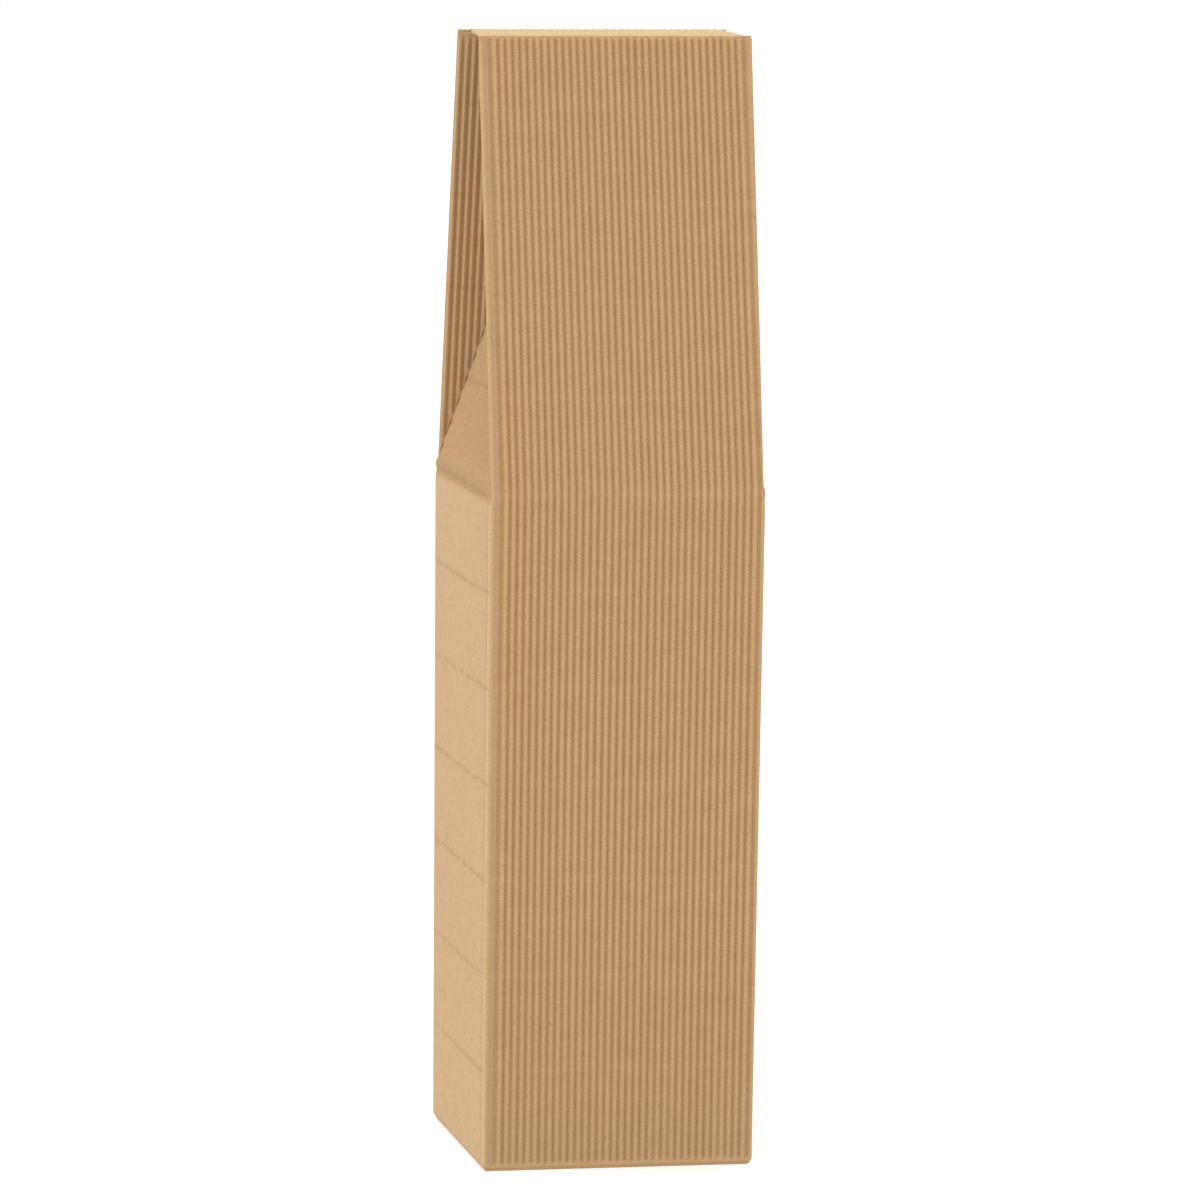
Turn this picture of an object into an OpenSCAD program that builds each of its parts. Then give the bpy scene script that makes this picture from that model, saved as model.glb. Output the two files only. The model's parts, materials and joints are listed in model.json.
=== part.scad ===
// Gift box for one bottle, folded from a single sheet of open-flute corrugated board.
// The body rises to a gable: the front and back lean in, the sides fold inwards
// between them, and a flap along the front of the top closes the gap and tucks in behind.

/* [Box] */
// Outside width of the body, over the flute crests
body_w = 91; // [84:1:110]
// Outside depth of the body, over the flute crests
body_d = 90; // [84:1:110]
// Height of the fold where the gable starts
body_h = 220; // [150:1:260]
// Height of the fold between the front of the gable and the top flap
gable_top = 364; // [320:1:400]
// Depth of the gable at its top, over the flute crests
top_depth = 35; // [30:1:44]

/* [Board] */
// Thickness of the plain inner sheet
liner = 0.5; // [0.4:0.05:0.7]
// Height of a flute crest above the plain sheet
flute_rise = 0.95; // [0.7:0.05:1.3]
// Thickness of the wavy sheet at a crest
medium = 0.3; // [0.3:0.02:0.4]
// Distance from one flute to the next
flute_pitch = 2.36; // [2:0.02:4]
// Smooth strip beside the upright folds of the front and back
front_margin = 2.9; // [2:0.1:8]
// Smooth strip beside the upright folds of the sides
side_margin = 2.4; // [1:0.1:6]
// Smooth strip on either side of the bend in the front and back
bend_band = 0.6; // [0.5:0.1:3]
// Smooth strip beside the folds of the gussets
press_band = 1.2; // [0.8:0.1:3]
// Smooth strip below the cross fold of each side
side_band = 2.8; // [0.8:0.1:6]
// Smooth strip along the bottom
foot_band = 2.6; // [1.5:0.1:6]
// Radius of the bead of board along a gable fold
bead_r = 0.36; // [0.36:0.02:0.45]

/* [Top flap] */
// Rise of the flap from its front fold to its rear fold
flap_lift = 0; // [0:0.1:1.5]
// Distance of the flap's left edge from the body's left face
flap_inset_left = 1.2; // [0.6:0.1:4]
// Distance of the flap's right edge from the body's right face
flap_inset_right = 3.4; // [0.6:0.1:8]
// How much further in the flap's left edge is at its rear
flap_taper = 2; // [0:0.5:3]
// Radius of the flap's rear corners
flap_corner_r = 5; // [2:0.5:7]
// Height of the nearly flat flutes on the flap
pressed_rise = 0.2; // [0.1:0.05:0.3]
// Depth of the tongue that tucks in behind the top edge of the back
tongue_l = 12.5; // [8:0.5:14]
// Lean of the tongue away from the back
tongue_lean = 14; // [13:1:18]
// Clear gap around the moving flap
clearance = 0.4; // [0.3:0.05:0.6]

/* [Inside] */
// Width of the glued seam strip inside the right wall
seam_w = 14; // [8:1:25]
// Distance of the seam strip's ends from the bottom and from the fold of the gable
seam_inset = 7; // [4:1:20]
// Distance of the glued bottom flap from the left, right and back folds
bottom_inset = 1.2; // [0.6:0.1:4]

/* [Hidden] */

board_colour = "#c49e70";
flap_colour = "#f0d8ae";

// Depth to which a piece of board is sunk into the plain sheet that it is glued to
sunk = liner * 0.4;
// Section of one flute, as shares of the pitch and of the rise: the bend in its flank and the
// foot of the tunnel under it
flank_at = 0.28;
flank_rise = 0.8;
tunnel_foot = 0.2;
// Height of the glued valleys above the plain sheet
valley_rise = 0.05;
// Distance by which the flutes stop short of a cut edge
edge_step = 0.15;
// Half width and depth of the body, and half depth of the gable's top, at the middle of the plain sheet
half_w = body_w / 2 - flute_rise - liner / 2;
half_d = body_d / 2 - flute_rise - liner / 2;
top_half = top_depth / 2 - flute_rise - liner / 2;

// Gable: a side panel of the flat sheet is 2 * half_d wide and slant long, and it folds along
// two lines from the body's corners to the middle of its top edge, the apex
rise = gable_top - body_h;
slant = norm([half_d - top_half, rise]);
apex_z = gable_top - top_half * (half_d - top_half) / rise;
gusset_in = sqrt(slant * slant - (apex_z - body_h) * (apex_z - body_h));
// Cut off the top of the gussets, so that the closed flap clears them
gusset_trim = liner / 2 + clearance + 0.1;

// Points of the folds on the left side, at the middle of the plain sheet
bend_front = [-half_w, -half_d, body_h];
bend_back = [-half_w, half_d, body_h];
top_front = [-half_w, -top_half, gable_top];
top_back = [-half_w, top_half, gable_top];
apex = [gusset_in - half_w, 0, apex_z];

// Flap and tongue, as seen from the left, at the middle of the sheet
hinge_gap = clearance + 0.05;
flap_rear_y = top_half - liner - clearance - pressed_rise;
flap_l = norm([flap_rear_y + top_half, flap_lift]);
flap_tilt = asin(flap_lift / flap_l);
flap_left = -body_w / 2 + flap_inset_left;
flap_right = body_w / 2 - flap_inset_right;
// The rear gussets close in on the tongue from both sides at this many millimetres a millimetre
wedge = top_half / gusset_in;
back_lean = atan((half_d - top_half) / rise);
tongue_away = tongue_l * sin(tongue_lean + back_lean);
tongue_room = liner * 3 + pressed_rise + 2 * clearance;
tongue_root = half_w - tongue_room / wedge;
tongue_tip = half_w - (tongue_room + tongue_away) / wedge;

function unit(v) = v / norm(v);

// Corner of a rounded outline: points on a quarter circle
function corner(x, y, r, from) = [for (a = [from:15:from + 90]) [x + r * cos(a), y + r * sin(a)]];

// How many flutes fit on a panel between its smooth strips
function flute_count(width, margin) = floor((width - 2 * margin) / flute_pitch);

// Section of the wavy sheet, with one tunnel under each crest: it starts at x = 0
function wavy_section(count) = concat(
    [for (i = [0:count - 1]) each [
        [i * flute_pitch, liner / 2 + valley_rise],
        [(i + flank_at) * flute_pitch, liner / 2 + flank_rise * flute_rise],
        [(i + 0.5) * flute_pitch, liner / 2 + flute_rise],
        [(i + 1 - flank_at) * flute_pitch, liner / 2 + flank_rise * flute_rise]
    ]],
    [[count * flute_pitch, liner / 2 + valley_rise]],
    [[count * flute_pitch, liner / 2 - sunk]],
    [for (i = [count - 1:-1:0]) each [
        [(i + 1 - tunnel_foot) * flute_pitch, liner / 2 - sunk],
        [(i + 0.5) * flute_pitch, liner / 2 + flute_rise - medium],
        [(i + tunnel_foot) * flute_pitch, liner / 2 - sunk]
    ]],
    [[0, liner / 2 - sunk]]
);

// Section of the nearly flat flutes on the flap
function pressed_section(count) = concat(
    [for (i = [0:count - 1]) each [
        [i * flute_pitch, liner / 2 + valley_rise],
        [(i + 0.5) * flute_pitch, liner / 2 + pressed_rise]
    ]],
    [[count * flute_pitch, liner / 2 + valley_rise]],
    [[count * flute_pitch, liner / 2 - sunk]],
    [[0, liner / 2 - sunk]]
);

// Puts a panel that is drawn flat, x across the flutes and y along them, where it belongs
module place(origin, across, along) {
    out = cross(across, along);
    multmatrix([
        [across.x, along.x, out.x, origin.x],
        [across.y, along.y, out.y, origin.y],
        [across.z, along.z, out.z, origin.z],
        [0, 0, 0, 1]
    ]) children();
}

// Plain sheet of a flat outline, centred on its own thickness
module sheet(outline) {
    translate([0, 0, -liner / 2]) linear_extrude(liner) polygon(outline);
}

// Flutes along y from one height to another, centred across a panel of this width
module flutes(width, margin, from, to) {
    count = flute_count(width, margin);
    translate([(width - count * flute_pitch) / 2, to, 0])
        rotate([90, 0, 0])
            linear_extrude(to - from) polygon(wavy_section(count));
}

// Flutes cut to a flat outline
module cut_flutes(width, margin, outline) {
    intersection() {
        flutes(width, margin, -1, slant + 1);
        translate([0, 0, -liner]) linear_extrude(flute_rise + 3 * liner) polygon(outline);
    }
}

// Bead of board along a fold between two points, held back from the second
module fold(a, b, short = 0) {
    d = b - a;
    translate(a)
        rotate([0, acos(d.z / norm(d)), atan2(d.y, d.x)])
            cylinder(r = bead_r, h = norm(d) - short, $fn = 6);
}

// Upright tube of the plain sheet
module body_tube() {
    translate([0, 0, liner])
        linear_extrude(body_h - liner)
            difference() {
                square([2 * half_w + liner, 2 * half_d + liner], center = true);
                square([2 * half_w - liner, 2 * half_d - liner], center = true);
            }
}

// Flutes of one upright wall: the wall stands at the front before it is turned
module wall_flutes(half_width, away, margin, band) {
    place([-half_width, -away, 0], [1, 0, 0], [0, 0, 1])
        flutes(2 * half_width, margin, foot_band, body_h - band);
}

// Bottom: side and back flaps in one layer, and under them the glued flap of the front
module bottom() {
    flap_half = half_w + liner / 2 - bottom_inset;
    translate([-half_w, -half_d, liner]) cube([2 * half_w, 2 * half_d, liner]);
    translate([-flap_half, -half_d - liner / 2, 0])
        cube([2 * flap_half, 2 * half_d + liner - bottom_inset, liner + sunk]);
}

// Seam strip, glued inside the right wall at the back
module seam() {
    translate([half_w - 1.5 * liner, half_d - liner / 2 - seam_w, seam_inset])
        cube([liner + sunk, seam_w + sunk, body_h - 2 * seam_inset]);
}

// Front of the gable, with its fluted side out; the back is the same
module gable_front(short) {
    place(bend_front, [1, 0, 0], unit(top_front - bend_front)) {
        sheet([[0, 0], [2 * half_w, 0], [2 * half_w, slant - short], [0, slant - short]]);
        flutes(2 * half_w, front_margin, bend_band, slant - short - press_band);
    }
}

// Triangle of a gusset, which leans in from the fold of the left side
module gusset_middle() {
    top = slant - gusset_trim;
    foot = half_d * gusset_trim / slant;
    tip = half_d - press_band / sin(atan(half_d / slant));
    foot_half = tip - half_d * side_band / slant;
    place(bend_back, [0, -1, 0], unit(apex - [-half_w, 0, body_h])) {
        sheet([[0, 0], [2 * half_d, 0], [half_d + foot, top], [half_d - foot, top]]);
        cut_flutes(2 * half_d, side_margin, [
            [half_d - foot_half, side_band],
            [half_d + foot_half, side_band],
            [half_d, slant * tip / half_d]
        ]);
    }
}

// Rear half of a gusset, between the back of the gable and the triangle; the front half mirrors it
module gusset_half() {
    top = slant - gusset_trim;
    away = press_band / sin(atan(half_d / slant));
    place(bend_back, unit(apex - top_back), unit(top_back - bend_back)) {
        sheet([[0, 0], [half_d * top / slant, top], [0, top]]);
        cut_flutes(2 * half_d, side_margin, [
            [0, away * slant / half_d],
            [half_d * (top - edge_step) / slant - away, top - edge_step],
            [0, top - edge_step]
        ]);
    }
}

// Left gusset with its folds
module gusset() {
    gusset_middle();
    gusset_half();
    mirror([0, 1, 0]) gusset_half();
    fold(bend_back, apex, 2 * gusset_trim);
    fold(bend_front, apex, 2 * gusset_trim);
    fold(bend_back, top_back, gusset_trim);
    fold(bend_front, top_front, gusset_trim);
    fold(bend_front, bend_back);
}

// The whole folded sheet, apart from the flap that moves
module carton() {
    color(board_colour) {
        body_tube();
        bottom();
        seam();
        for (turn = [0, 180]) rotate(turn) wall_flutes(half_w, half_d, front_margin, bend_band);
        for (turn = [90, 270]) rotate(turn) wall_flutes(half_d, half_w, side_margin, side_band);
        gable_front(hinge_gap);
        mirror([0, 1, 0]) gable_front(0);
        gusset();
        mirror([1, 0, 0]) gusset();
        fold(bend_front, [half_w, -half_d, body_h]);
        fold(bend_back, [half_w, half_d, body_h]);
    }
}

// Flat outline of the flap, with its rear corners rounded
module flap_sheet() {
    rear = flap_l - flap_corner_r;
    sheet(concat(
        [[flap_left, hinge_gap], [flap_right, hinge_gap]],
        corner(flap_right - flap_corner_r, rear, flap_corner_r, 0),
        corner(flap_left + flap_taper + flap_corner_r, rear, flap_corner_r, 90)
    ));
}

// Nearly flat flutes on the flap, between its side edges
module flap_flutes() {
    width = flap_right - flap_left;
    count = flute_count(width, flap_corner_r);
    translate([flap_left + (width - count * flute_pitch) / 2, flap_l - press_band, 0])
        rotate([90, 0, 0])
            linear_extrude(flap_l - hinge_gap - 2 * press_band) polygon(pressed_section(count));
}

// Top flap with its tongue, closed
module top_flap() {
    color(flap_colour)
        translate([0, -top_half, gable_top])
            rotate([flap_tilt, 0, 0]) {
                flap_sheet();
                flap_flutes();
                translate([0, flap_l, 0]) rotate([-90 - tongue_lean - flap_tilt, 0, 0])
                    sheet([
                        [-tongue_root, 0], [-tongue_tip, tongue_l],
                        [tongue_tip, tongue_l], [tongue_root, 0]
                    ]);
                translate([-tongue_root, flap_l, 0]) rotate([0, 90, 0])
                    cylinder(r = bead_r, h = 2 * tongue_root, $fn = 8);
            }
}

carton();
top_flap();
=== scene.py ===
"""Gift box for one bottle, folded from open-flute corrugated kraft board.

The board is drawn flat, as it is cut: u runs across the flutes round the box and v runs along them,
both in millimetres. Each facet of the flat board has its own place in space, and the board turns
smoothly from one facet to the next along the folds.
"""

import json
import logging
import math
from dataclasses import dataclass
from enum import Enum
from typing import Callable

import bmesh
import bpy
import numpy as np
from mathutils import Matrix, Vector

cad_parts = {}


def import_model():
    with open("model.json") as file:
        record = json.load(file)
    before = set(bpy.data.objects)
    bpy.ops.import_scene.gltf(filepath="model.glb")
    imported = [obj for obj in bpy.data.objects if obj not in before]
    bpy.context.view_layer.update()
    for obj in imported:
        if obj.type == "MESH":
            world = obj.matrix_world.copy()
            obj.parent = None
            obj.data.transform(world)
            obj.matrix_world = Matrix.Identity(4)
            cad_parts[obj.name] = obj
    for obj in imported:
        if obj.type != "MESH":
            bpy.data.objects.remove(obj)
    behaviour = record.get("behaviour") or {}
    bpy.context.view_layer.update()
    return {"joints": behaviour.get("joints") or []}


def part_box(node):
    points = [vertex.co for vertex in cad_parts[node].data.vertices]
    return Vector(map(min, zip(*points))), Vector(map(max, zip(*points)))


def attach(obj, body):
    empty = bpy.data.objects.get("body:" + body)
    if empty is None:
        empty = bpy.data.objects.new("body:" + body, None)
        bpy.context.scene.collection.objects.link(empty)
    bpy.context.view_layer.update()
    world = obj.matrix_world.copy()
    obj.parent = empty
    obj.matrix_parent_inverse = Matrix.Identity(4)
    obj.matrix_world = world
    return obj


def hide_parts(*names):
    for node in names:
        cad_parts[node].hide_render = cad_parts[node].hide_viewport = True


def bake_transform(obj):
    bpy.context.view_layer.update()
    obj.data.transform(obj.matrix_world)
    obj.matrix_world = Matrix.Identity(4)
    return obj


log = logging.getLogger("bottle_box")

Array = np.ndarray
Triple = tuple[float, float, float]
Colour = tuple[float, float, float, float]
FlatSheet = bmesh.types.BMesh
Socket = bpy.types.NodeSocket
Group = bpy.types.ShaderNodeTree

MM = 0.001
CUT_EDGE_SLOT = 1
MOST_FLUTES = 400
TURN = 2.0 * math.pi
WHITE = (1.0, 1.0, 1.0, 1.0)


def smooth(share: Array) -> Array:
    """Eases a share from 0 to 1."""
    share = np.clip(share, 0.0, 1.0)
    return share * share * (3.0 - 2.0 * share)


def bump(distance: Array, width: float) -> Array:
    """Rounded bump of height 1 at no distance, which fades over about this width."""
    return np.exp(-((distance / width) ** 2))


def unit(vector: Array) -> Array:
    """The vector at length 1."""
    return vector / np.linalg.norm(vector)


def add_object(name: str, data: bpy.types.ID) -> bpy.types.Object:
    """Makes an object of this data and puts it in the scene."""
    added = bpy.data.objects.new(name, data)
    bpy.context.scene.collection.objects.link(added)
    return added


def new_material(name: str) -> tuple[bpy.types.Material, bpy.types.Node]:
    """Makes a material and gives it with its shader."""
    material = bpy.data.materials.new(name)
    material.use_nodes = True
    return material, material.node_tree.nodes["Principled BSDF"]


def srgb(red: int, green: int, blue: int) -> Colour:
    """A screen colour of 0 to 255 as linear colour."""
    channels = [c / 255 for c in (red, green, blue)]
    linear = [c / 12.92 if c <= 0.04045 else ((c + 0.055) / 1.055) ** 2.4 for c in channels]
    return (linear[0], linear[1], linear[2], 1.0)


@dataclass(frozen=True)
class Board:
    """Section of the single-face board, in millimetres from the middle of its plain sheet."""

    pitch: float = 2.36
    crest: float = 1.2
    glued: float = 0.27
    wavy_paper: float = 0.22
    plain_out: float = 0.05
    plain_in: float = -0.25


@dataclass(frozen=True)
class Crease:
    """One fold beside a facet of the flat board; its direction points into the facet."""

    across: float
    along: float
    at: float
    softness: float

    def inside(self, u: Array, v: Array) -> Array:
        """How far points of the flat board lie inside this fold."""
        return self.across * u + self.along * v - self.at

    def share(self, u: Array, v: Array) -> Array:
        """How much points of the flat board belong to this side of the fold."""
        return smooth((self.inside(u, v) + self.softness) / (2.0 * self.softness))

    def turned(self) -> "Crease":
        """The same fold, for the facet on its other side."""
        return Crease(-self.across, -self.along, -self.at, self.softness)


def above(at: float, softness: float) -> Crease:
    """A fold across the flutes, whose facet lies above it."""
    return Crease(0.0, 1.0, at, softness)


def after(at: float, softness: float) -> Crease:
    """An upright fold, whose facet follows it round the box."""
    return Crease(1.0, 0.0, at, softness)


@dataclass(frozen=True)
class Facet:
    """One flat facet of the folded board."""

    start: tuple[float, float]
    place: Array
    across: Array
    along: Array
    creases: tuple[Crease, ...]

    def put(self, u: Array, v: Array, w: Array) -> Array:
        """Places points of the flat board as if the whole board lay in this facet's plane.

        Args:
            u, v: Distances across and along the flutes.
            w: Heights above the middle of the plain sheet.

        Returns:
            The points in space, in millimetres.
        """
        out = np.cross(self.across, self.along)
        return (
            self.place
            + np.outer(u - self.start[0], self.across)
            + np.outer(v - self.start[1], self.along)
            + np.outer(w, out)
        )

    def share(self, u: Array, v: Array) -> Array:
        """How much points of the flat board belong to this facet."""
        total = np.ones_like(u)
        for crease in self.creases:
            total = total * crease.share(u, v)
        return total


@dataclass(frozen=True)
class Wall:
    """One wall of the body, and the panel of the flat board that it belongs to."""

    start: float
    fold: float
    stop: float
    foot: Array
    across: Array
    out: Array
    sill: float
    flap_l: float
    top: float
    softness: float


@dataclass
class Blank:
    """The flat board with its folds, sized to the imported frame."""

    half_w: float
    half_d: float
    top_half: float
    gable_top: float
    body_h: float = 220.0
    seam_w: float = 14.0
    seam_step: float = 0.55
    front_sill: float = 0.3
    side_sill: float = 0.86
    back_sill: float = 1.42
    bottom_l: float = 86.0
    dust_l: float = 36.0
    gusset_trim: float = 0.55
    first_valley: float = 3.6
    flutes_l: float = 82.6
    flap_taper: float = 3.4
    flap_short: float = 2.2
    flap_l: float = 31.5
    flap_corner: float = 5.0
    flap_start: float = 1.2
    tongue_l: float = 12.5
    tongue_lean: float = 14.0
    tongue_root: float = 35.5
    tongue_tip: float = 24.0
    corner_soft: float = 0.8
    bend_soft: float = 3.4
    cross_soft: float = 2.4
    diagonal_soft: float = 0.7
    sill_soft: float = 0.7
    top_soft: float = 0.7
    rear_soft: float = 1.1
    front_spread: Triple = (1.013, 1.0115, 0.993)
    settled_wide: Triple = (-0.47, 0.03, 0.27)
    settled_skew: Triple = (0.0, -0.8, -1.15)

    def __post_init__(self) -> None:
        """Works out where the folds stand on the flat board and in space."""
        self.rise = self.gable_top - self.body_h
        set_back = self.half_d - self.top_half
        self.slant = math.hypot(set_back, self.rise)
        self.lean = set_back / self.slant
        self.up = self.rise / self.slant
        self.apex_rise = self.rise - self.top_half * set_back / self.rise
        self.gusset_in = math.sqrt(self.slant**2 - self.apex_rise**2)
        self.left = 2.0 * self.half_w
        self.front = self.left + 2.0 * self.half_d
        self.right = self.front + 2.0 * self.half_w
        self.end = self.right + 2.0 * self.half_d
        self.top = self.body_h + self.slant
        self.diagonal = math.hypot(self.slant, self.half_d)
        self.walls = self.stand_walls()

    def stand_walls(self) -> tuple[Wall, ...]:
        """The back, the left side, the front and the right side, in the order of the flat board."""
        hw, hd = self.half_w, self.half_d
        left, front, right, end = self.left, self.front, self.right, self.end
        x, y, _ = np.eye(3)
        broad = (self.bottom_l, self.top, self.bend_soft)
        side = (self.dust_l, self.top - self.gusset_trim, self.cross_soft)
        signs = ((1.0, 1.0), (-1.0, 1.0), (-1.0, -1.0), (1.0, -1.0))
        corners = [np.array([sign_x * hw, sign_y * hd, 0.0]) for sign_x, sign_y in signs]
        return (
            Wall(0.0, self.seam_step, left, corners[0], -x, y, self.back_sill, *broad),
            Wall(left, left, front, corners[1], -y, -x, self.side_sill, *side),
            Wall(front, front, right, corners[2], x, -y, self.front_sill, *broad),
            Wall(right, right, end, corners[3], y, x, self.side_sill, *side),
        )

    def spread(self, s: Array, v: Array) -> Array:
        """Spreads the flutes of the front, which stand a little wider apart in the body than at the top.

        Args:
            s, v: Distances across the flutes, as if they were evenly spaced, and along them.

        Returns:
            Distances across the flutes on the board.
        """
        first = self.front + self.first_valley
        last = first + self.flutes_l
        wider = np.interp(v, (0.0, self.body_h, self.top), self.front_spread)
        inside = first + (s - first) * wider
        edge = first + self.flutes_l * wider
        beyond = edge + (s - last) * (self.right - edge) / (self.right - last)
        return np.where((s <= first) | (s >= self.right), s, np.where(s < last, inside, beyond))

    def settle(self, place: Array) -> None:
        """Moves the folded box a little out of true, as it has settled in handling.

        Args:
            place: The points in space, in millimetres.
        """
        levels = (0.0, self.body_h, self.gable_top)
        wide = np.interp(place[:, 2], levels, self.settled_wide) / self.half_w
        skew = np.interp(place[:, 2], levels, self.settled_skew) / self.half_d
        place[:, 0] += wide * place[:, 0] + skew * place[:, 1]

    def diagonals(self) -> list[tuple[Wall, float, Crease]]:
        """The gussets' diagonal folds, whose facets are the outer halves of the gussets.

        Returns:
            For each fold, the wall under it, where it leaves the cross fold, and the crease.
        """
        found: list[tuple[Wall, float, Crease]] = []
        along = self.half_d / self.diagonal
        for wall in self.walls[1::2]:
            for start, turn in ((wall.start, 1.0), (wall.stop, -1.0)):
                across = -turn * self.slant / self.diagonal
                at = across * start + along * self.body_h
                found.append((wall, start, Crease(across, along, at, self.diagonal_soft)))
        return found

    def upright(self, wall: Wall) -> tuple[Crease, ...]:
        """The upright folds beside a wall; the board ends at the last wall's far edge."""
        first = after(wall.fold, self.corner_soft)
        if wall.stop == self.end:
            return (first,)
        return (first, after(wall.stop, self.corner_soft).turned())

    def body_facets(self) -> list[Facet]:
        """The facets of the walls and of the flaps under the bottom."""
        z = np.array([0.0, 0.0, 1.0])
        built: list[Facet] = []
        for wall in self.walls:
            sides = self.upright(wall)
            sill = above(wall.sill, self.sill_soft)
            bend = above(self.body_h, wall.softness).turned()
            flap_foot = wall.foot + wall.sill * z
            built.append(Facet((wall.start, 0.0), wall.foot, wall.across, z, (*sides, sill, bend)))
            built.append(
                Facet((wall.start, wall.sill), flap_foot, wall.across, wall.out, (*sides, sill.turned()))
            )
        return built

    def gable_facets(self) -> list[Facet]:
        """The facets of the back and the front above the bend."""
        z = np.array([0.0, 0.0, 1.0])
        built: list[Facet] = []
        for wall in self.walls[0::2]:
            foot = wall.foot + self.body_h * z
            climb = self.up * z - self.lean * wall.out
            creases = (*self.upright(wall), above(self.body_h, wall.softness))
            built.append(Facet((wall.start, self.body_h), foot, wall.across, climb, creases))
        return built

    def gusset_facets(self, wall: Wall) -> list[Facet]:
        """The facets of one side's gusset.

        Args:
            wall: The side wall under the gusset.

        Returns:
            The triangle in the middle and the outer half on each side of it.
        """
        hw, bh = self.half_w, self.body_h
        sign_x, sign_y = np.sign(wall.foot[:2])
        other_side = (1.0, -1.0, 1.0)
        apex = np.array([sign_x * (hw - self.gusset_in), 0.0, bh + self.apex_rise])
        middle = unit(apex - np.array([sign_x * hw, 0.0, bh]))
        start = np.array([sign_x * hw, sign_y * self.half_d, bh])
        start_top = np.array([sign_x * hw, sign_y * self.top_half, self.gable_top])
        finish, finish_top = start * other_side, start_top * other_side
        first, last = (crease for under, _, crease in self.diagonals() if under is wall)
        triangle = (above(bh, self.cross_soft), first.turned(), last.turned())
        sides = self.upright(wall)
        from_start, from_stop = (wall.start, bh), (wall.stop, bh)
        return [
            Facet(from_start, start, wall.across, middle, triangle),
            Facet(from_start, start, unit(apex - start_top), unit(start_top - start), (first, sides[0])),
            Facet(from_stop, finish, unit(finish_top - apex), unit(finish_top - finish), (last, *sides[1:])),
        ]

    def seam_facets(self) -> list[Facet]:
        """The facets of the seam strip, inside the right side and its gusset."""
        hw, hd, bh, step = self.half_w, self.half_d, self.body_h, self.seam_step
        x, y, z = np.eye(3)
        corner = np.array([hw, hd, 0.0])
        bend = np.array([hw, hd, bh])
        crown = np.array([hw, self.top_half, self.gable_top])
        apex = np.array([hw - self.gusset_in, 0.0, bh + self.apex_rise])
        inward, climb = unit(crown - apex), unit(crown - bend)
        out = np.cross(inward, climb)
        edge = after(step, self.corner_soft).turned()
        fold_line = above(bh, self.cross_soft)
        return [
            Facet((step, 0.0), corner - step * x, y, z, (edge, fold_line.turned())),
            Facet((step, bh), bend - step * out, inward, climb, (edge, fold_line)),
        ]

    def facets(self) -> list[Facet]:
        """The facets of the whole board below the top flap."""
        gussets = [facet for wall in self.walls[1::2] for facet in self.gusset_facets(wall)]
        return self.body_facets() + self.gable_facets() + gussets + self.seam_facets()

    def flap_facets(self) -> list[Facet]:
        """The facets of the top flap: the end of the front, the flap and its tongue."""
        x, y, z = np.eye(3)
        rear = self.top + self.flap_l
        turn = math.radians(-90.0 - self.tongue_lean)
        tongue = np.array([0.0, math.cos(turn), math.sin(turn)])
        bend = np.array([-self.half_w, -self.half_d, self.body_h])
        edge = np.array([-self.half_w, -self.top_half, self.gable_top])
        climb = self.up * z + self.lean * y
        crown, root = above(self.top, self.top_soft), above(rear, self.rear_soft)
        return [
            Facet((self.front, self.body_h), bend, x, climb, (crown.turned(),)),
            Facet((self.front, self.top), edge, x, y, (crown, root.turned())),
            Facet((self.front, rear), edge + self.flap_l * y, x, tongue, (root,)),
        ]


def fold(facets: list[Facet], u: Array, v: Array, w: Array) -> Array:
    """Folds points of the flat board.

    Args:
        facets: The facets that the board is folded into.
        u, v: Distances across and along the flutes.
        w: Heights above the middle of the plain sheet.

    Returns:
        The points in space, in millimetres.
    """
    place = np.zeros((len(u), 3))
    total = np.full(len(u), 1e-12)
    for facet in facets:
        share = facet.share(u, v)
        near = share > 0.0
        place[near] += share[near, None] * facet.put(u[near], v[near], w[near])
        total += share
    return place / total[:, None]


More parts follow.
